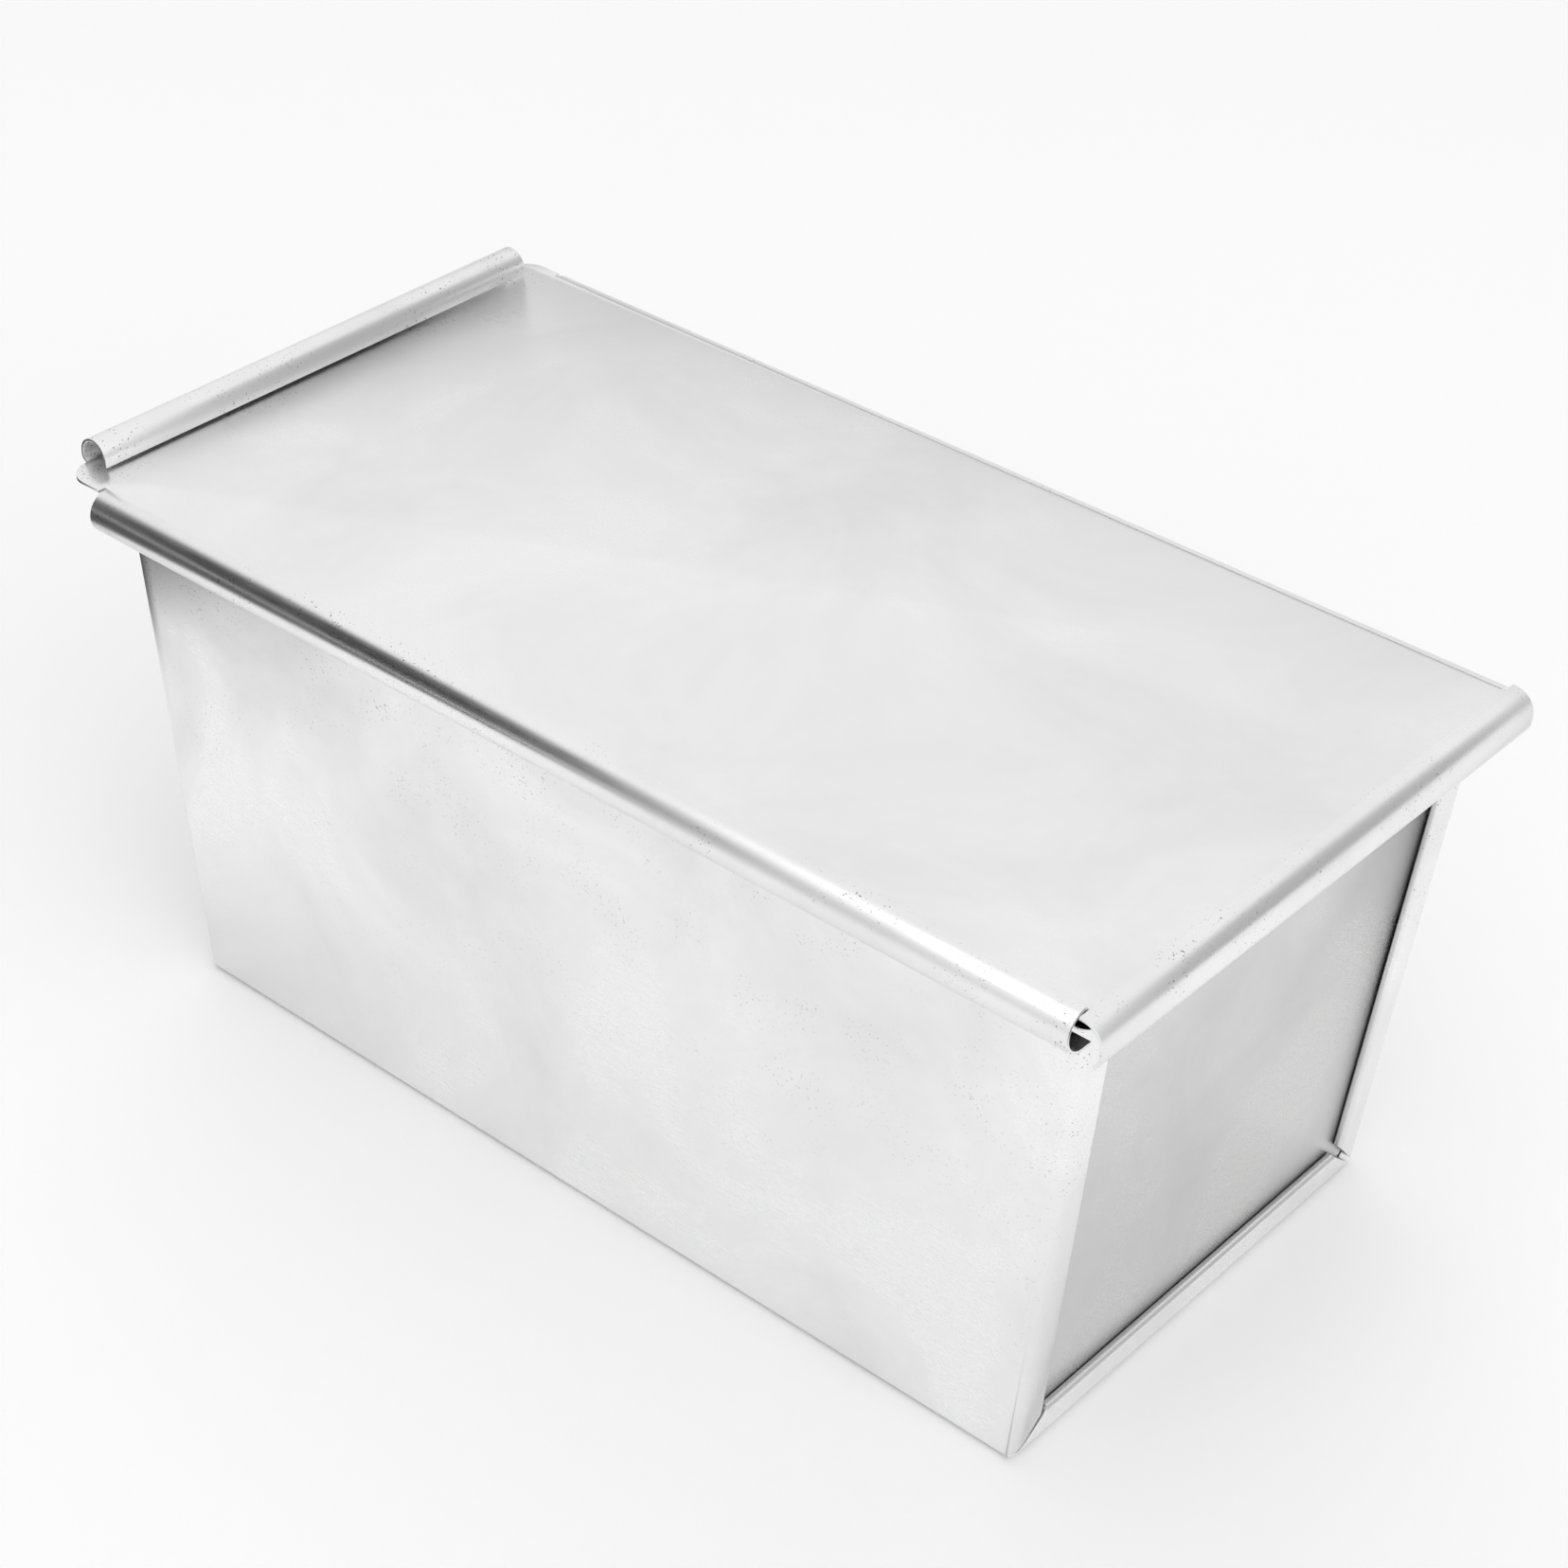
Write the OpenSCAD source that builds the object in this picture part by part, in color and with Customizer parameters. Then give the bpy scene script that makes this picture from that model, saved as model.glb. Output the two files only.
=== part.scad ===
// Pullman loaf pan: a folded sheet-metal toast box with a lid that slides along its rolled rim.
// Origin at the middle of the floor, X along the pan, Y across it, +Z up, millimetres.
// The photographed long side faces -Y and the lid's handle lies at the -X end.

/* [Pan] */
// Thickness of the sheet of the pan
sheet_t = 0.6; // [0.4:0.05:0.9]
// Length of the pan outside, at the floor
base_l = 196; // [120:1:330]
// Width of the pan outside, at the floor
base_w = 102; // [70:1:130]
// Length between the end walls' outer faces, at the rim
rim_l = 215; // [140:1:350]
// Width between the long walls' outer faces, at the rim
rim_w = 108.6; // [80:0.2:150]
// Height from the floor's underside to the top of the rolled rim
rim_h = 104; // [60:1:140]
// Outside radius of the fold between the floor and a long wall
floor_r = 2; // [1.5:0.1:4]
// Outside radius of the fold from a long wall onto an end
corner_r = 2.6; // [2.2:0.1:4]
// Outside radius of the fold from the floor onto an end
end_fold_r = 2.8; // [2.2:0.1:4]

/* [Rolled rim] */
// Diameter of the steel wire inside the rolled rim
wire_d = 4.8; // [3:0.1:6]
// Play between the wire and the sheet rolled round it
wire_play = 0.15; // [0.05:0.05:0.4]
// Degrees that the rim is rolled through
bead_turn = 305; // [270:1:310]
// Distance by which the rolled rim stops short of each corner
corner_notch = 5; // [3:0.5:9]
// Clearance of the wires' cut ends inside the ends of the roll
wire_inset = 0.5; // [0.2:0.1:2]

/* [Lock seam] */
// Width of the folded seam that frames each end
seam_w = 7.2; // [5.5:0.1:10]
// Gap between the layers of the seam
seam_gap = 0.1; // [0.05:0.01:0.15]
// Degrees by which each edge of the bottom mitres is cut back from 45
mitre_open = 3; // [2:1:15]
// Notch at each bottom corner, where the strips' mitres start
mitre_notch = 0.6; // [0.3:0.1:2]

/* [Lid] */
// Thickness of the sheet of the lid
lid_t = 0.6; // [0.4:0.05:0.9]
// Gap between the lid and the top of the rim
top_gap = 0.3; // [0.2:0.05:0.8]
// Gap between the rim and the lid's lips under it
lip_gap = 0.5; // [0.3:0.05:1]
// Gap between the rim and the side of the lid's long curls
side_gap = 1; // [0.4:0.1:2]
// Gap between the lips' edges and the long walls
lip_clear = 1; // [0.6:0.1:2.5]
// Gap between the rim and the lid's end flange, as the lid lies
end_gap = 1.6; // [0.4:0.1:3]
// Slit between the long curls and the end flange
corner_slit = 1.2; // [0.5:0.1:3]
// Inside radius of the end flange's fold
flange_r = 3.4; // [2:0.1:5]
// Straight part of the end flange below its fold
flange_drop = 1.2; // [0.5:0.1:6]
// Degrees that the end flange's edge is turned in
flange_tuck = 35; // [5:1:60]
// Length by which the end flange stays inside the lid's width, on each side
flange_inset = 1.6; // [0.5:0.1:5]

/* [Handle] */
// Distance from the handle's outer face to the ends of the long curls
flap_l = 11.5; // [9:0.1:25]
// Width of the flap that carries the handle
flap_w = 117.4; // [90:0.2:130]
// Radius of the flap's corners
flap_r = 5; // [2:0.1:8]
// Width of the handle
handle_w = 106.4; // [60:0.2:110]
// Thickness of the rolled handle, from face to face
handle_d = 6.6; // [5:0.1:10]
// Height of the handle above the lid
handle_h = 5; // [4.6:0.1:12]
// Inside radius of the fold that turns the handle up
handle_fold_r = 1.1; // [0.6:0.1:2]
// Gap between the handle's free edge and the lid
handle_gap = 0.4; // [0.2:0.1:1]

/* [Hidden] */

// Degrees of a fold that one flat facet spans
facet = 10;
// Stretch over which a folded strip runs into the sheet that it belongs to
lap = 1.2;
// Depth of a strip's tongue below the faces of that sheet, and the overlap where they meet
tongue_skin = 0.06;
butt = 0.02;

// Lean of the long walls and of the ends, from the vertical
wall_lean = atan((rim_w - base_w) / 2 / rim_h);
end_lean = atan((rim_l - base_l) / 2 / rim_h);
// Lean of the seam's upright edges within the plane of an end
edge_lean = atan(tan(wall_lean) * cos(end_lean));
// How far the walls and ends miss a right angle, because both lean
corner_skew = asin(sin(wall_lean) * sin(end_lean));

// Outside radius of the rolled rim, radius of its middle line, and height of its centre
bead_r = wire_d / 2 + wire_play + sheet_t;
bead_mid = bead_r - sheet_t / 2;
bead_z = rim_h - bead_r;
// Level of the corner notches: the seams end just below the roll
notch_z = rim_h - 2 * bead_r - top_gap;
// Half lengths of the straight rolled stretches
long_roll = rim_l / 2 - corner_notch;
end_roll = rim_w / 2 - corner_notch;

// Where a long wall starts to roll, and how far out the centre of its roll lies
roll_start_z = bead_z + bead_mid * sin(wall_lean);
bead_y = base_w / 2 + roll_start_z * tan(wall_lean) - sheet_t / 2 / cos(wall_lean)
    + bead_mid * cos(wall_lean);

// Outside radius of the seam's hems, which wrap one layer of sheet
hem_r = 1.5 * sheet_t + seam_gap;
// Depth of the end panel's middle plane below the outer face of the seam
panel_deep = 3.5 * sheet_t + 3 * seam_gap;

// Centre of the roll on an end, in the plane of the end and in the pan
end_bead_out = bead_mid - panel_deep;
end_bead_up = (bead_z + end_bead_out * sin(end_lean)) / cos(end_lean);
end_bead_x = base_l / 2 + end_bead_out * cos(end_lean) + end_bead_up * sin(end_lean);

// Lid: top face, inside radius of the long curls and the centre of each curl
lid_top = rim_h + top_gap + lid_t;
curl_r = (top_gap + 2 * bead_r + lip_gap) / 2;
curl_y = bead_y + bead_r + side_gap - curl_r;
curl_z = rim_h + top_gap - curl_r;
lid_half_w = curl_y + curl_r + lid_t;
// Outer face of the end flange and the line where its fold starts
flange_x = end_bead_x + bead_r + end_gap + lid_t;
flange_start = flange_x - flange_r - lid_t;
// Ends of the long curls, and the outer face of the handle
curl_right = flange_start - corner_slit;
curl_left = -(base_l / 2 + rim_h * tan(end_lean) + top_gap);
handle_x = curl_left - flap_l;
// Length of sheet under the roll of the handle, beyond its first fold
handle_r = handle_d / 2 - lid_t;
handle_rise = handle_h - handle_d / 2 - handle_fold_r;

function reversed(v) = [for (i = [len(v) - 1 : -1 : 0]) v[i]];

// Points along one fold: centre c, side 1 for a left turn and -1 for a right one,
// radius r of the middle line, heading at its start and degrees turned; the last point is left out
function arc_points(c, side, r, from, turn) =
    let (n = ceil(abs(turn) / facet))
    [for (k = [1 : 1 : n - 1])
        let (h = from + turn * k / n)
        [c.x + side * r * sin(h), c.y - side * r * cos(h), h]];

// Stations [x, y, heading] along the middle of a folded sheet that starts at station s.
// Each fold is [straight run, degrees turned, inside radius]; a left turn is positive.
function folded(s, folds, t, i = 0) =
    i == len(folds) ? [s] :
    let (run = folds[i][0],
        turn = folds[i][1],
        r = folds[i][2] + t / 2,
        side = sign(turn),
        e = [s.x + run * cos(s.z), s.y + run * sin(s.z), s.z],
        c = [e.x - side * r * sin(e.z), e.y + side * r * cos(e.z)],
        h = e.z + turn,
        next = turn == 0 ? e : [c.x + side * r * sin(h), c.y - side * r * cos(h), h])
    concat([s],
        run > 0 && turn != 0 ? [e] : [],
        turn == 0 ? [] : arc_points(c, side, r, e.z, turn),
        folded(next, folds, t, i + 1));

// One face of a folded sheet: its middle line moved to the left by d
function face(stations, d) = [for (s = stations) [s.x - d * sin(s.z), s.y + d * cos(s.z)]];

// A path that starts on the middle line x = 0, with its mirror image in front of it
function both_sides(stations) = concat(
    [for (i = [len(stations) - 1 : -1 : 1]) [-stations[i].x, stations[i].y, -stations[i].z]],
    [for (i = [1 : len(stations) - 1]) stations[i]]);

// Section of a folded sheet of thickness t
module sheet(stations, t) {
    polygon(concat(face(stations, t / 2), reversed(face(stations, -t / 2))));
}

// A section drawn in Y and Z, run along X from x0 to x1
module along_x(x0, x1) {
    translate([x0, 0, 0])
        rotate([90, 0, 90])
            linear_extrude(height = x1 - x0)
                children();
}

// A section drawn in X and Z, run along Y over the width w
module along_y(w) {
    rotate([90, 0, 0])
        linear_extrude(height = w, center = true)
            children();
}

// Half of the pan's cross-section: floor, long wall and rolled rim
floor_turn = 90 - wall_lean;
floor_mid = floor_r - sheet_t / 2;
floor_run = base_w / 2 + sheet_t / 2 * (tan(wall_lean) - 1 / cos(wall_lean))
    - floor_mid * tan(floor_turn / 2);
wall_run = (roll_start_z - sheet_t / 2 - floor_mid * (1 - cos(floor_turn))) / cos(wall_lean);
floor_and_wall = [[floor_run, floor_turn, floor_r - sheet_t], [wall_run, 0, 0]];
rolled_edge = [0, -bead_turn, bead_r - sheet_t];
pan_start = [0, sheet_t / 2, 0];
pan_section = folded(pan_start, concat(floor_and_wall, [rolled_edge]), sheet_t);

// Flange of the pan body in the seam: it folds round the corner of outside radius r, runs along
// the face of the end, hems back on itself and returns. entry is the heading it comes in with.
function corner_reach(entry, r) = r * tan((90 - entry) / 2);
function seam_flange(entry, r) =
    let (reach = corner_reach(entry, r),
        leg = seam_w - hem_r - reach)
    folded([-reach * cos(entry) - sheet_t / 2 * sin(entry),
            -reach * sin(entry) + sheet_t / 2 * cos(entry), entry],
        [[0, 90 - entry, r - sheet_t],
            [leg, 180, sheet_t / 2 + seam_gap],
            [leg, 0, 0]], sheet_t);

// Section of that flange, with the tongue that joins it to the sheet it folds from
module seam_flange_section(entry, r) {
    stations = seam_flange(entry, r);
    thick = sheet_t - 2 * tongue_skin;
    sheet(stations, sheet_t);
    translate([stations[0].x, stations[0].y])
        rotate(entry)
            translate([-lap, -thick / 2])
                square([lap + thick / 2, thick]);
}

// Edge of the end panel in the seam: it folds outwards into a hook that lies inside the hem
function panel_hook(entry, r) =
    let (reach = corner_reach(entry, r))
    folded([-panel_deep, reach + lap, -90],
        [[lap, 180, sheet_t / 2 + seam_gap],
            [seam_w - hem_r - reach, 0, 0]], sheet_t);

// Moves its children from the plane x = 0 into the leaning plane of the right end
module at_end() {
    translate([base_l / 2, 0, 0])
        rotate([0, end_lean, 0])
            children();
}

// Clears the child of the zones in which the other strips of the seam run. The zones meet
// in mitres that start at the bottom corners and open towards the middle of the end.
zone_deep = 16;
zone_reach = 3 * seam_w;
module side_zone() {
    a = 45 + mitre_open;
    translate([-zone_deep / 2, 0, 0])
        rotate([90, 0, 90])
            linear_extrude(height = zone_deep)
                polygon([[-base_w / 2, mitre_notch],
                    [-base_w / 2 + zone_reach * cos(a), mitre_notch + zone_reach * sin(a)],
                    [-base_w / 2 + zone_reach * cos(a), 2 * rim_h],
                    [-rim_w, 2 * rim_h],
                    [-rim_w, mitre_notch]]);
}
module bottom_zone() {
    a = 45 - mitre_open;
    half = base_w / 2 - mitre_notch;
    translate([-zone_deep / 2, 0, 0])
        rotate([90, 0, 90])
            linear_extrude(height = zone_deep)
                polygon([[-half, -seam_w],
                    [half, -seam_w],
                    [half, 0],
                    [half - zone_reach * cos(a), zone_reach * sin(a)],
                    [-half + zone_reach * cos(a), zone_reach * sin(a)],
                    [-half, 0]]);
}

// A strip of the seam up both sides of an end, and one along its bottom
module side_strips() {
    for (far = [0, 1])
        mirror([0, far, 0])
            intersection() {
                translate([0, -base_w / 2, 0])
                    rotate([edge_lean, 0, 0])
                        translate([0, 0, -seam_w])
                            linear_extrude(height = rim_h + 2 * seam_w)
                                children();
                side_zone();
            }
}
module bottom_strip() {
    intersection() {
        along_y(base_w)
            children();
        bottom_zone();
    }
}

// All that lies inside the outer faces of the floor and the long walls
module pan_envelope() {
    along_x(-rim_l, rim_l)
        polygon(face(both_sides(folded(pan_start, floor_and_wall, sheet_t)), -sheet_t / 2));
}

// Floor and long walls with their rolled rims, cut off where the folds onto the ends start.
// A wall's fold starts at its reach from the sloping edge, measured square to that edge.
module trough() {
    slope = tan(end_lean);
    edge = norm([slope, tan(wall_lean), 1]);
    wall_inset = corner_reach(corner_skew, corner_r)
        * (1 / cos(wall_lean) + slope * slope * cos(wall_lean)) / edge;
    floor_x = base_l / 2 - corner_reach(end_lean, end_fold_r) + butt;
    wall_x = base_l / 2 - wall_inset + butt;
    half = [[0, -sheet_t], [floor_x, -sheet_t], [floor_x, sheet_t],
        [wall_x + sheet_t * slope, sheet_t], [wall_x + 2 * rim_h * slope, 2 * rim_h],
        [0, 2 * rim_h]];
    intersection() {
        along_x(-rim_l, rim_l)
            sheet(both_sides(pan_section), sheet_t);
        along_y(2 * rim_w)
            polygon(concat(half, [for (p = reversed(half)) [-p.x, p.y]]));
    }
}

module pan_body() {
    color("#d4d5d6")
        difference() {
            union() {
                trough();
                for (left = [0, 1])
                    mirror([left, 0, 0])
                        intersection() {
                            at_end() {
                                side_strips()
                                    seam_flange_section(corner_skew, corner_r);
                                bottom_strip()
                                    seam_flange_section(end_lean, end_fold_r);
                            }
                            pan_envelope();
                        }
            }
            for (left = [0, 1])
                mirror([left, 0, 0])
                    translate([long_roll, -rim_w, notch_z])
                        cube([rim_l, 2 * rim_w, rim_h]);
        }
}

// Space above the corner notches, from y0 outwards on the far side of the pan
module above_notch(y0) {
    translate([0, y0, notch_z])
        cube([rim_l, rim_w, rim_h]);
}

// Flat sheet of an end, from its bottom fold to the start of its roll
module end_sheet() {
    side = corner_reach(corner_skew, corner_r) / cos(edge_lean);
    bottom = corner_reach(end_lean, end_fold_r);
    low = base_w / 2 - side + bottom * tan(edge_lean);
    high = base_w / 2 - side + end_bead_up * tan(edge_lean);
    translate([-panel_deep - sheet_t / 2, 0, 0])
        rotate([90, 0, 90])
            linear_extrude(height = sheet_t)
                polygon([[-low, bottom], [low, bottom],
                    [high, end_bead_up], [-high, end_bead_up]]);
}

// The sheet of one end, hooked into the seam on three edges and rolled at the top
module end_panel() {
    color("#c9cacb") {
        difference() {
            at_end()
                side_strips()
                    sheet(panel_hook(corner_skew, corner_r), sheet_t);
            above_notch(-rim_w / 2);
        }
        difference() {
            at_end() {
                end_sheet();
                bottom_strip()
                    sheet(panel_hook(end_lean, end_fold_r), sheet_t);
                along_y(2 * end_roll)
                    sheet(folded([-panel_deep, end_bead_up - lap, 90],
                        [[lap, -bead_turn, bead_r - sheet_t]], sheet_t), sheet_t);
            }
            for (far = [0, 1])
                mirror([0, far, 0])
                    above_notch(end_roll);
        }
    }
}
module end_panel_right() {
    end_panel();
}
module end_panel_left() {
    mirror([1, 0, 0])
        end_panel();
}

// Steel wires that stiffen the rolled rim, one in each straight roll
module long_wire() {
    color("#8f9294")
        translate([0, bead_y, bead_z])
            rotate([0, 90, 0])
                cylinder(d = wire_d, h = 2 * (long_roll - wire_inset), center = true, $fn = 48);
}
module end_wire() {
    color("#8f9294")
        translate([end_bead_x, 0, bead_z])
            rotate([90, 0, 0])
                cylinder(d = wire_d, h = 2 * (end_roll - wire_inset), center = true, $fn = 48);
}
module rim_wire_back() {
    long_wire();
}
module rim_wire_front() {
    mirror([0, 1, 0])
        long_wire();
}
module rim_wire_right() {
    end_wire();
}
module rim_wire_left() {
    mirror([1, 0, 0])
        end_wire();
}

// Lid section across the pan: plate with a curl on each side that grips the rolled rim
lip_level = curl_z - curl_r;
lip_run = curl_y - (base_w / 2 + lip_level * tan(wall_lean) + lip_clear);
lid_section = folded([0, lid_top - lid_t / 2, 0],
    [[curl_y, -180, curl_r], [lip_run, 0, 0]], lid_t);

// End flange, from its straight lead-in to its turned-in edge
flange_section = folded([flange_start - corner_slit / 2, lid_top - lid_t / 2, 0],
    [[corner_slit / 2, -90, flange_r],
        [flange_drop, -flange_tuck, flange_r],
        [flange_drop / 2, 0, 0]], lid_t);

// Handle: the flap's edge turned up, rolled over and back down to the lid
handle_section = folded([handle_x + handle_d, lid_top - lid_t / 2, 180],
    [[handle_d - handle_fold_r - lid_t, -90, handle_fold_r],
        [handle_rise, -180, handle_r],
        [handle_rise + handle_fold_r - handle_gap, 0, 0]], lid_t);

// Outline of the flap: its two free corners are rounded
module flap_outline() {
    x0 = handle_x + handle_fold_r + lid_t;
    corner = [x0 + flap_r, flap_w / 2 - flap_r];
    arc = [for (a = [180 : -facet : 90]) corner + flap_r * [cos(a), sin(a)]];
    upper = concat(arc, [[curl_left - corner_slit / 2, flap_w / 2]]);
    polygon(concat(upper, [for (p = reversed(upper)) [p.x, -p.y]]));
}

module lid() {
    color("#dcdddd")
        union() {
            along_x(curl_left, curl_right)
                sheet(both_sides(lid_section), lid_t);
            translate([handle_x + flap_r + handle_fold_r, -curl_y, lid_top - lid_t])
                cube([flange_start - corner_slit / 4 - handle_x - flap_r - handle_fold_r,
                    2 * curl_y, lid_t]);
            along_y(2 * (lid_half_w - flange_inset))
                sheet(flange_section, lid_t);
            translate([0, 0, lid_top - lid_t])
                linear_extrude(height = lid_t)
                    flap_outline();
            along_y(handle_w)
                sheet(handle_section, lid_t);
        }
}

pan_body();
end_panel_left();
end_panel_right();
rim_wire_front();
rim_wire_back();
rim_wire_left();
rim_wire_right();
lid();
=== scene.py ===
"""Looks of a sliding-lid loaf pan folded from aluminised steel, set in a pale studio."""

import math

import bpy
from bpy.props import FloatProperty, PointerProperty, StringProperty
from bpy.types import Operator, Panel, PropertyGroup
from mathutils import Matrix, Vector


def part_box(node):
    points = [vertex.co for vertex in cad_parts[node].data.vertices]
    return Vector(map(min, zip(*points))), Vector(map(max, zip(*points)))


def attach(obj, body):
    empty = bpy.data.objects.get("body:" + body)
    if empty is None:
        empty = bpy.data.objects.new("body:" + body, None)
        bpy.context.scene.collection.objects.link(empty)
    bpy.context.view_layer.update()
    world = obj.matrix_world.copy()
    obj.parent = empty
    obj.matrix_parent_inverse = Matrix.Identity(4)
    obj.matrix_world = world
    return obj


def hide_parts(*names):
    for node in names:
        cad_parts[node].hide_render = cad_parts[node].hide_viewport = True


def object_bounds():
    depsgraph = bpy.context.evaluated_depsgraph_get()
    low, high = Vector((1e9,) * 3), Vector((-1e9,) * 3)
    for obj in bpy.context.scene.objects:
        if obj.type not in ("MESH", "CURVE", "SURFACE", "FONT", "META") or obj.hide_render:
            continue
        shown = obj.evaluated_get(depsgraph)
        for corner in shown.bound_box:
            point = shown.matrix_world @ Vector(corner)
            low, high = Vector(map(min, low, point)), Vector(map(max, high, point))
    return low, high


bl_info = {
    "name": "Sliding-lid Loaf Pan",
    "version": (1, 0, 0),
    "blender": (4, 5, 0),
    "location": "View3D > Sidebar > Loaf Pan",
    "description": "Finishes the folded sheets of a lidded loaf pan and sets up its studio",
    "category": "Object",
}

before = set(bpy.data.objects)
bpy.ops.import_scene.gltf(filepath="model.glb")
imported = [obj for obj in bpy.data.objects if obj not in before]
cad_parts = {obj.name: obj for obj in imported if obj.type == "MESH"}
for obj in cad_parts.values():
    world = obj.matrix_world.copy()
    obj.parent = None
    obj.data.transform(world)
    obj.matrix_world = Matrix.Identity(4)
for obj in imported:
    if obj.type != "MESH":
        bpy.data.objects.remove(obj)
CAD_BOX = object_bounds()
MM = 0.001

# The photograph is square. Its focal length is in its own pixels.
PHOTO_PIXELS = 1656
PHOTO_FOCAL_PIXELS = 3706.6
SENSOR_MM = 36.0

# Unlit sides of the room, which the curls mirror as dark bands: the way to each, the cosines
# of the angles from it at which it starts and is darkest, and how dark it is
UNLIT_SIDES = (
    ((-0.78, -0.56, 0.28), 0.82, 0.95, 0.02),
    ((0.66, 0.66, 0.36), 0.80, 0.97, 0.5),
)


def linear(hex_colour):
    """RGBA in linear light of an sRGB colour such as "d4d5d6"."""
    channels = [int(hex_colour[i:i + 2], 16) / 255 for i in (0, 2, 4)]
    return [c / 12.92 if c <= 0.04045 else ((c + 0.055) / 1.055) ** 2.4 for c in channels] + [1.0]


def add(tree, kind, inputs=None, **settings):
    """Adds a node, gives it its settings, and links or sets its inputs."""
    node = tree.nodes.new(kind)
    for key, value in settings.items():
        setattr(node, key, value)
    for key, value in (inputs or {}).items():
        if isinstance(value, bpy.types.NodeSocket):
            tree.links.new(value, node.inputs[key])
        else:
            node.inputs[key].default_value = value
    return node


def empty_material(name):
    """A material whose tree holds no nodes yet."""
    material = bpy.data.materials.new(name)
    material.use_nodes = True
    material.node_tree.nodes.clear()
    return material, material.node_tree


def sheet_material(name, look, dull, bright, rim_from, rim_reach):
    """Hot-dip aluminised steel sheet, cold rolled along X: a bright satin with cloudy patches of
    duller skin, a faint rolled grain, and dark flecks where the coating cracks along the folds.
    rim_from is how far out the folds start along X and Y, rim_reach how wide the flecked band is."""
    material, tree = empty_material(name)
    place = add(tree, "ShaderNodeTexCoord").outputs["Object"]

    # Patches of duller coating, some centimetres wide
    cloud = add(tree, "ShaderNodeTexNoise", {
        "Vector": place, "Scale": 1 / (look.patch_size), "Detail": 5.0,
        "Roughness": 0.62, "Distortion": 0.6}).outputs["Fac"]
    patches = add(tree, "ShaderNodeMapRange", {
        "Value": cloud, "From Min": 0.30, "From Max": 0.62}).outputs["Result"]

    # The rolled grain is finer than a pixel, so it is drawn at about three times its real width
    grain_place = add(tree, "ShaderNodeMapping", {
        "Vector": place,
        "Scale": (1 / (9 * MM), 1 / (0.35 * MM), 1 / (0.35 * MM))}).outputs["Vector"]
    grain = add(tree, "ShaderNodeTexNoise", {
        "Vector": grain_place, "Scale": 1.0, "Detail": 2.0}).outputs["Fac"]

    # Flecks of cracked coating, about a third of a millimetre wide, in bands along the folds
    cells = add(tree, "ShaderNodeTexNoise", {
        "Vector": place, "Scale": 1 / (0.5 * MM), "Detail": 1.0}).outputs["Fac"]
    flecks = add(tree, "ShaderNodeMapRange", {
        "Value": cells, "From Min": 0.66, "From Max": 0.74}).outputs["Result"]
    axes = add(tree, "ShaderNodeSeparateXYZ", {"Vector": place})
    bands = []
    for axis, start in zip("XY", rim_from):
        out = add(tree, "ShaderNodeMath", {0: axes.outputs[axis]},
                  operation="ABSOLUTE").outputs[0]
        bands.append(add(tree, "ShaderNodeMapRange", {
            "Value": out, "From Min": start - rim_reach, "From Max": start + rim_reach / 2},
            interpolation_type="SMOOTHSTEP").outputs["Result"])
    band = add(tree, "ShaderNodeMath", {0: bands[0], 1: bands[1]},
               operation="MAXIMUM").outputs[0]
    patchy = add(tree, "ShaderNodeTexNoise", {
        "Vector": place, "Scale": 1 / (14 * MM), "Detail": 1.0}).outputs["Fac"]
    patchy = add(tree, "ShaderNodeMapRange", {
        "Value": patchy, "From Min": 0.45, "From Max": 0.65}).outputs["Result"]
    band = add(tree, "ShaderNodeMath", {0: band, 1: patchy}, operation="MULTIPLY").outputs[0]
    flecked = add(tree, "ShaderNodeMath", {0: flecks, 1: band}, operation="MULTIPLY").outputs[0]

    skin = add(tree, "ShaderNodeMix", {
        "Factor": patches, 6: linear(dull), 7: linear(bright)},
        data_type="RGBA").outputs[2]
    colour = add(tree, "ShaderNodeMix", {
        "Factor": flecked, 6: skin, 7: linear(look.fleck_hex)}, data_type="RGBA").outputs[2]

    satin = add(tree, "ShaderNodeMapRange", {
        "Value": patches, "To Min": look.roughness + 0.07,
        "To Max": look.roughness - 0.04}).outputs["Result"]
    grained = add(tree, "ShaderNodeMapRange", {
        "Value": grain, "To Min": -0.05, "To Max": 0.05}).outputs["Result"]
    roughness = add(tree, "ShaderNodeMath", {0: satin, 1: grained}, operation="ADD").outputs[0]

    # Thin sheet is never quite flat: its waves are a few hundredths of a millimetre deep
    waves = add(tree, "ShaderNodeTexNoise", {
        "Vector": place, "Scale": 1 / (38 * MM), "Detail": 1.0}).outputs["Fac"]
    wavy = add(tree, "ShaderNodeBump", {
        "Height": waves, "Strength": 1.0, "Distance": look.wave_depth}).outputs["Normal"]
    rolled = add(tree, "ShaderNodeBump", {
        "Height": grain, "Normal": wavy, "Strength": 0.25,
        "Distance": 0.006 * MM}).outputs["Normal"]
    shader = add(tree, "ShaderNodeBsdfPrincipled", {
        "Base Color": colour, "Roughness": roughness, "Normal": rolled, "Metallic": 1.0})
    add(tree, "ShaderNodeOutputMaterial", {"Surface": shader.outputs["BSDF"]})
    return material


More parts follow.
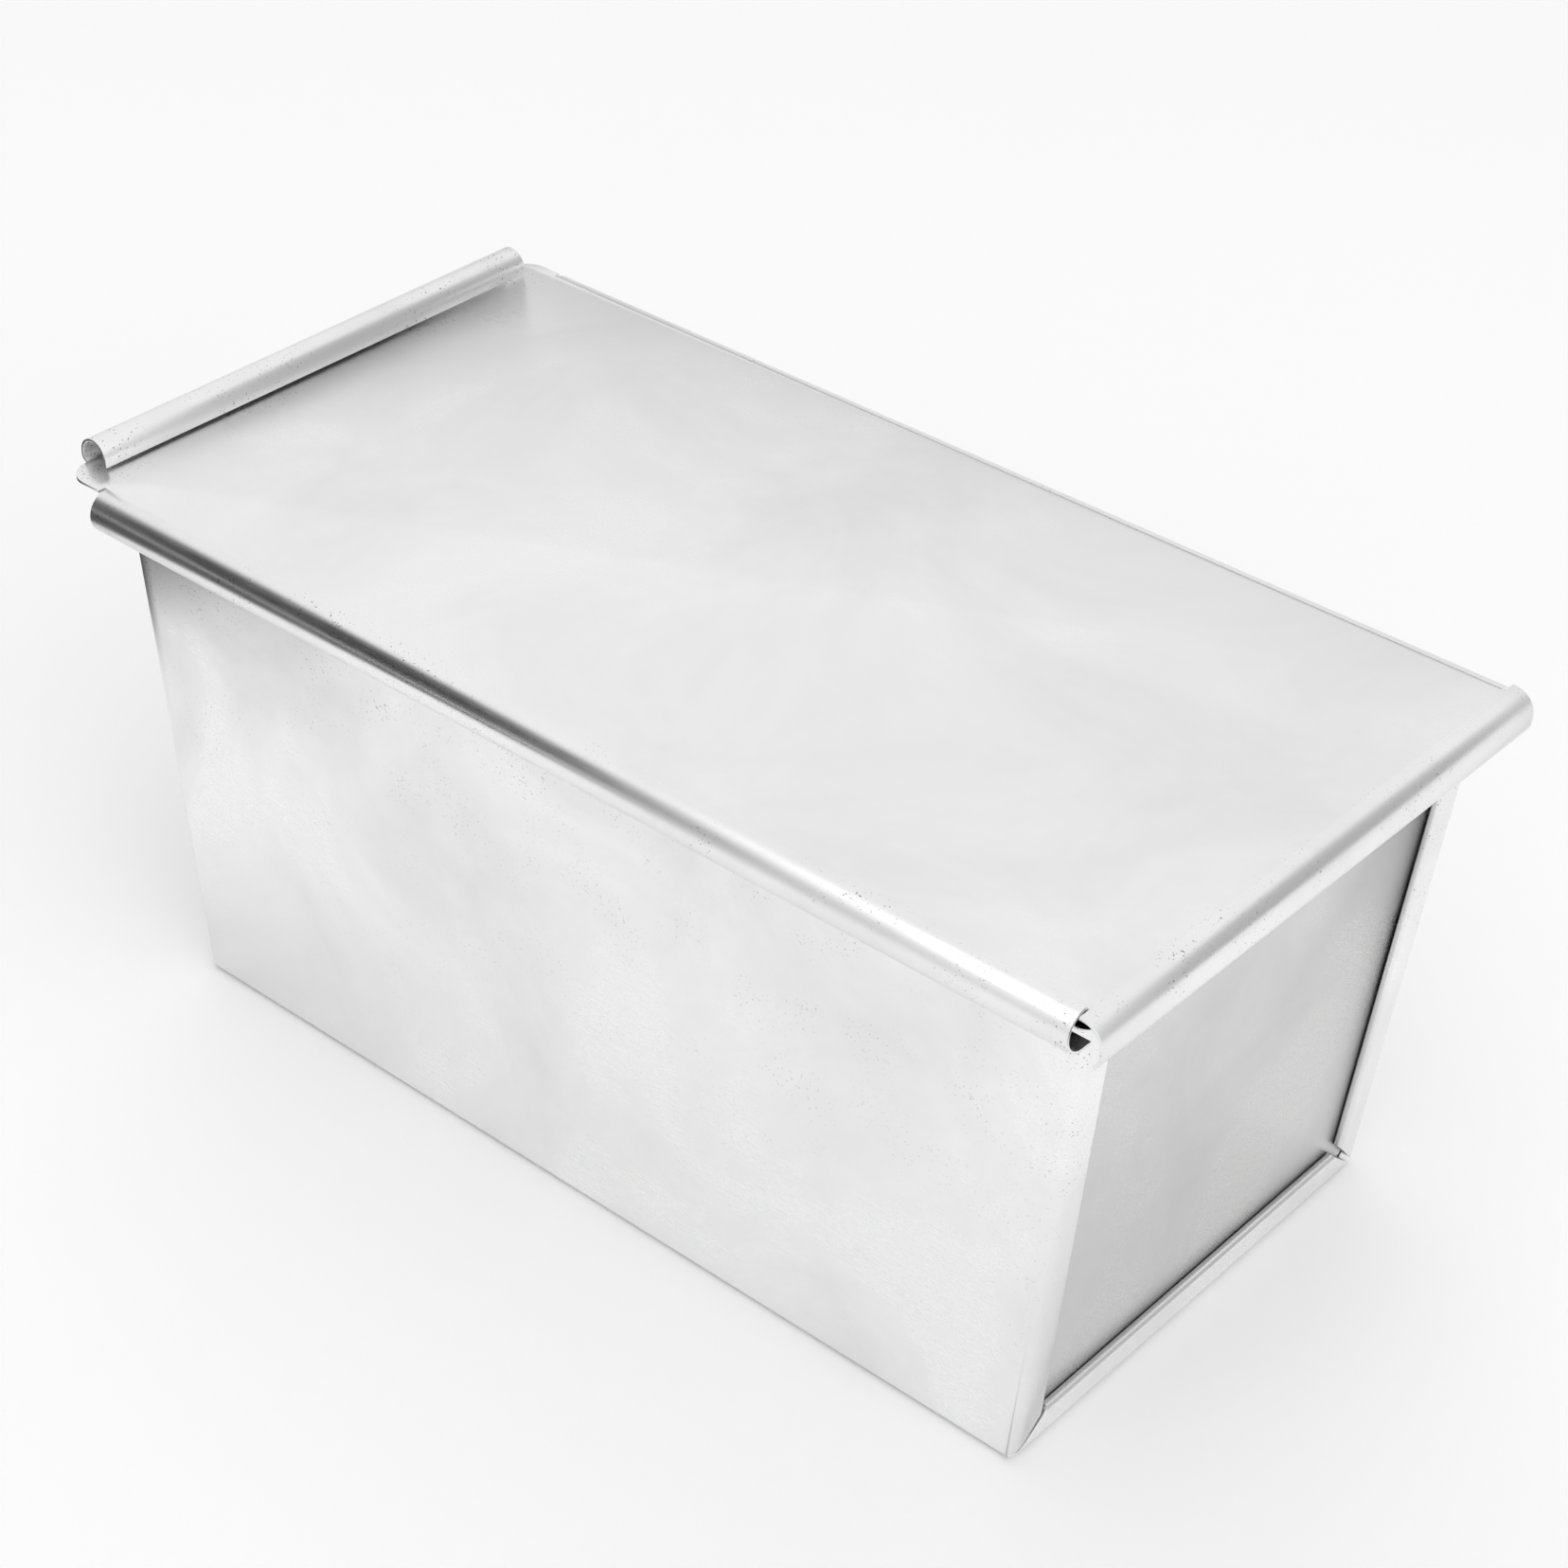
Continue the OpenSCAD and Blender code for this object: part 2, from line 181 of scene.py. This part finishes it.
def wire_material(look):
    """Galvanised steel wire, cropped to length: a dull grey zinc skin with finer mottling."""
    material, tree = empty_material("galvanised_wire")
    place = add(tree, "ShaderNodeTexCoord").outputs["Object"]
    mottle = add(tree, "ShaderNodeTexNoise", {
        "Vector": place, "Scale": 1 / (2.5 * MM), "Detail": 3.0}).outputs["Fac"]
    colour = add(tree, "ShaderNodeMix", {
        "Factor": mottle, 6: linear("7d8184"), 7: linear("b3b6b8")},
        data_type="RGBA").outputs[2]
    roughness = add(tree, "ShaderNodeMapRange", {
        "Value": mottle, "To Min": 0.5, "To Max": 0.38}).outputs["Result"]
    shader = add(tree, "ShaderNodeBsdfPrincipled", {
        "Base Color": colour, "Roughness": roughness, "Metallic": 1.0})
    add(tree, "ShaderNodeOutputMaterial", {"Surface": shader.outputs["BSDF"]})
    return material


def select_only(obj):
    """Makes obj the one selected and active object."""
    bpy.ops.object.select_all(action="DESELECT")
    obj.select_set(True)
    bpy.context.view_layer.objects.active = obj


def finished_sheet(node, name, body, material, look):
    """A folded sheet as it shows: the part's own form with its triangles merged, its cut edges
    eased as a shear and a rub of the hand leave them, and its folds shaded as round ones."""
    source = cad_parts[node]
    piece = bpy.data.objects.new(name, source.data.copy())
    bpy.context.scene.collection.objects.link(piece)
    select_only(piece)
    bpy.ops.object.mode_set(mode="EDIT")
    bpy.ops.mesh.select_all(action="SELECT")
    bpy.ops.mesh.remove_doubles(threshold=0.002 * MM)
    bpy.ops.mesh.customdata_custom_splitnormals_clear()
    bpy.ops.mesh.dissolve_limited(angle_limit=math.radians(0.4))
    bpy.ops.object.mode_set(mode="OBJECT")
    eased = piece.modifiers.new("eased edges", "BEVEL")
    eased.width = look.edge_ease
    eased.segments = 2
    eased.limit_method = "ANGLE"
    eased.angle_limit = math.radians(55)
    eased.use_clamp_overlap = True
    bpy.ops.object.modifier_apply(modifier=eased.name)
    bpy.ops.object.shade_smooth_by_angle(angle=math.radians(35))
    piece.data.materials.clear()
    piece.data.materials.append(material)
    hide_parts(node)
    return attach(piece, body)


class LoafPanLook(PropertyGroup):
    """Sizes and finishes of the sheet metal."""
    patch_size: FloatProperty(
        name="Patch size", description="Width of the cloudy patches on the sheet",
        default=55 * MM, min=0.01, max=0.3, unit="LENGTH")
    wave_depth: FloatProperty(
        name="Wave depth", description="Depth of the waves in the thin sheet",
        default=0.035 * MM, min=0.0, max=0.001, unit="LENGTH")
    edge_ease: FloatProperty(
        name="Edge rounding", description="Rounding of the sheet's cut edges",
        default=0.1 * MM, min=0.00002, max=0.00025, unit="LENGTH")
    roughness: FloatProperty(
        name="Roughness", description="Middle roughness of the satin sheet",
        default=0.31, min=0.1, max=0.8)
    fleck_hex: StringProperty(
        name="Fleck colour", description="Colour of cracked coating, as sRGB hex",
        default="6c6e70")


class LoafPanStudio(PropertyGroup):
    """Where the camera stands and how bright the studio is."""
    azimuth: FloatProperty(
        name="Azimuth", description="Turn of the camera round the pan, from its long side",
        default=math.radians(39.589), subtype="ANGLE")
    elevation: FloatProperty(
        name="Elevation", description="Height of the camera above the horizon",
        default=math.radians(34.872), subtype="ANGLE")
    roll: FloatProperty(
        name="Roll", description="Tilt of the camera about its own line of sight",
        default=math.radians(2.013), subtype="ANGLE")
    distance: FloatProperty(
        name="Distance", description="Distance from the pan's base along the line of sight",
        default=659.5 * MM, min=0.1, unit="LENGTH")
    aside: FloatProperty(
        name="Aside", description="Shift of the camera to its right",
        default=3.6 * MM, unit="LENGTH")
    above: FloatProperty(
        name="Above", description="Shift of the camera along its own upright",
        default=52.1 * MM, unit="LENGTH")
    sky: FloatProperty(
        name="Sky", description="Brightness of the white room", default=1.2, min=0.0)


class LOAFPAN_OT_trough(Operator):
    """Finish the folded trough with its rolled rims and seam flanges"""
    bl_idname = "loafpan.trough"
    bl_label = "Trough"

    def execute(self, context):
        look = context.scene.loaf_pan_look
        _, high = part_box("pan_body")
        material = sheet_material(
            "aluminised_sheet_trough", look, "e6e6e6", "f4f4f4",
            (high.x - 2 * MM, high.y - 5 * MM), 5 * MM)
        finished_sheet("pan_body", "trough_sheet", "pan", material, look)
        return {"FINISHED"}


class LOAFPAN_OT_ends(Operator):
    """Finish the two end panels held in the lock seams"""
    bl_idname = "loafpan.ends"
    bl_label = "End panels"

    def execute(self, context):
        look = context.scene.loaf_pan_look
        _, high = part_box("end_panel_right")
        # The end panels are the same sheet as the trough; their darker grey is painted shade for the
        # end faces turned away from the light
        material = sheet_material(
            "aluminised_sheet_ends_painted_shade", look, "cbcbcb", "d6d6d6",
            (high.x, high.y - 3 * MM), 4 * MM)
        for side in ("left", "right"):
            finished_sheet(f"end_panel_{side}", f"end_sheet_{side}", "pan",
                           material, look)
        return {"FINISHED"}


class LOAFPAN_OT_wires(Operator):
    """Finish the steel wires inside the rolled rims"""
    bl_idname = "loafpan.wires"
    bl_label = "Rim wires"

    def execute(self, context):
        material = wire_material(context.scene.loaf_pan_look)
        for name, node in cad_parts.items():
            if name.startswith("rim_wire"):
                select_only(node)
                bpy.ops.object.shade_smooth_by_angle(angle=math.radians(35))
                node.data.materials.clear()
                node.data.materials.append(material)
        return {"FINISHED"}


class LOAFPAN_OT_lid(Operator):
    """Finish the sliding lid with its curls, end flange and handle"""
    bl_idname = "loafpan.lid"
    bl_label = "Lid"

    def execute(self, context):
        look = context.scene.loaf_pan_look
        _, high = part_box("lid")
        material = sheet_material(
            "aluminised_sheet_lid", look, "e8e8e8", "f2f2f2",
            (high.x - 4 * MM, high.y - 3 * MM), 3.5 * MM)
        finished_sheet("lid", "lid_sheet_piece", "lid", material, look)
        return {"FINISHED"}


class LOAFPAN_OT_studio(Operator):
    """Set up the pale floor, the soft lights and the camera"""
    bl_idname = "loafpan.studio"
    bl_label = "Studio"

    def execute(self, context):
        studio = context.scene.loaf_pan_studio
        self.make_camera(context, studio)
        self.make_floor()
        self.make_dark_card()
        self.make_room(context, studio)
        self.make_lights(context)
        context.scene.view_settings.view_transform = "Standard"
        return {"FINISHED"}

    def make_camera(self, context, studio):
        """The photograph's own viewpoint: its line of sight, roll and focal length."""
        az, el, roll = studio.azimuth, studio.elevation, studio.roll
        back = Vector((math.sin(az) * math.cos(el), -math.cos(az) * math.cos(el), math.sin(el)))
        level = Vector((math.cos(az), math.sin(az), 0))
        upright = back.cross(level)
        right = math.cos(roll) * level + math.sin(roll) * upright
        up = math.cos(roll) * upright - math.sin(roll) * level
        camera = bpy.data.objects.new("camera", bpy.data.cameras.new("camera"))
        camera.data.sensor_width = SENSOR_MM
        camera.data.lens = PHOTO_FOCAL_PIXELS / PHOTO_PIXELS * SENSOR_MM
        camera.data.clip_start = 0.01
        turn = Matrix((right, up, back)).transposed().to_4x4()
        where = studio.aside * right + studio.above * up + studio.distance * back
        camera.matrix_world = Matrix.Translation(where) @ turn
        context.scene.collection.objects.link(camera)
        context.scene.camera = camera

    def make_floor(self):
        """A plain pale sheet that the pan stands on, out past what the camera sees."""
        bpy.ops.object.select_all(action="DESELECT")
        bpy.ops.mesh.primitive_plane_add(size=8, location=(0, 0, -0.1 * MM))
        floor = bpy.context.object
        floor.name = "floor"
        material, tree = empty_material("pale_paper")
        shader = add(tree, "ShaderNodeBsdfPrincipled", {
            "Base Color": linear("ffffff"), "Roughness": 0.9})
        add(tree, "ShaderNodeOutputMaterial", {"Surface": shader.outputs["BSDF"]})
        floor.data.materials.append(material)

    def make_dark_card(self):
        """A dark card on the floor at front left. Only the metal's reflections show it, so it
        darkens the near curl as the unlit side of a studio does."""
        low, _ = CAD_BOX
        bpy.ops.object.select_all(action="DESELECT")
        bpy.ops.mesh.primitive_plane_add(size=1, location=(low.x - 0.62, -0.5, 0.5 * MM))
        card = bpy.context.object
        card.name = "dark_card"
        card.visible_camera = card.visible_diffuse = card.visible_shadow = False
        material, tree = empty_material("dark_card")
        shader = add(tree, "ShaderNodeBsdfPrincipled", {
            "Base Color": linear("1c1c1c"), "Roughness": 0.9})
        add(tree, "ShaderNodeOutputMaterial", {"Surface": shader.outputs["BSDF"]})
        card.data.materials.append(material)

    def make_room(self, context, studio):
        """A white room, a little greyer at the horizon and darker on its unlit sides."""
        world = bpy.data.worlds.new("white_room")
        world.use_nodes = True
        tree = world.node_tree
        tree.nodes.clear()
        way = add(tree, "ShaderNodeTexCoord").outputs["Generated"]
        height = add(tree, "ShaderNodeSeparateXYZ", {"Vector": way}).outputs["Z"]
        white = add(tree, "ShaderNodeMapRange", {
            "Value": height, "From Min": 0.0, "From Max": 0.45, "To Min": 0.8,
            "To Max": 1.0}, interpolation_type="SMOOTHSTEP").outputs["Result"]
        level = white
        for towards, starts, full, darkest in UNLIT_SIDES:
            facing = add(tree, "ShaderNodeVectorMath", {
                0: way, 1: Vector(towards).normalized()}, operation="DOT_PRODUCT").outputs["Value"]
            dimmed = add(tree, "ShaderNodeMapRange", {
                "Value": facing, "From Min": starts, "From Max": full, "To Min": 1.0,
                "To Max": darkest}, interpolation_type="SMOOTHSTEP").outputs["Result"]
            level = add(tree, "ShaderNodeMath", {0: level, 1: dimmed},
                        operation="MULTIPLY").outputs[0]
        strength = add(tree, "ShaderNodeMath", {0: level, 1: studio.sky},
                       operation="MULTIPLY").outputs[0]
        light = add(tree, "ShaderNodeBackground", {"Strength": strength})
        add(tree, "ShaderNodeOutputWorld", {"Surface": light.outputs["Background"]})
        context.scene.world = world

    def make_lights(self, context):
        """Two large soft boxes: one over the front, a weaker one at the right."""
        for name, place, size, power in (
                ("key_softbox", (0.2, -0.9, 1.7), 1.6, 5.0),
                ("side_softbox", (1.5, -0.4, 1.3), 1.2, 3.0)):
            data = bpy.data.lights.new(name, "AREA")
            data.size = size
            data.energy = power
            light = bpy.data.objects.new(name, data)
            light.location = place
            aim = Vector((0, 0, 0.05)) - Vector(place)
            light.rotation_euler = aim.to_track_quat("-Z", "Y").to_euler()
            context.scene.collection.objects.link(light)


class LOAFPAN_PT_panel(Panel):
    """Lists the loaf pan's pieces and its studio"""
    bl_idname = "LOAFPAN_PT_panel"
    bl_label = "Loaf Pan"
    bl_space_type = "VIEW_3D"
    bl_region_type = "UI"
    bl_category = "Loaf Pan"

    def draw(self, context):
        for settings in (context.scene.loaf_pan_look, context.scene.loaf_pan_studio):
            box = self.layout.box()
            for key in settings.__annotations__:
                box.prop(settings, key)
        for step in STEPS:
            self.layout.operator(step.bl_idname)


STEPS = (LOAFPAN_OT_studio, LOAFPAN_OT_trough, LOAFPAN_OT_ends, LOAFPAN_OT_wires,
         LOAFPAN_OT_lid)
CLASSES = (LoafPanLook, LoafPanStudio, *STEPS, LOAFPAN_PT_panel)


def register():
    for cls in CLASSES:
        bpy.utils.register_class(cls)
    bpy.types.Scene.loaf_pan_look = PointerProperty(type=LoafPanLook)
    bpy.types.Scene.loaf_pan_studio = PointerProperty(type=LoafPanStudio)


def unregister():
    del bpy.types.Scene.loaf_pan_studio
    del bpy.types.Scene.loaf_pan_look
    for cls in reversed(CLASSES):
        bpy.utils.unregister_class(cls)


def main():
    """Makes the studio and every piece."""
    register()
    bpy.ops.loafpan.studio()
    bpy.ops.loafpan.trough()
    bpy.ops.loafpan.ends()
    bpy.ops.loafpan.wires()
    bpy.ops.loafpan.lid()


if __name__ == "__main__":
    main()
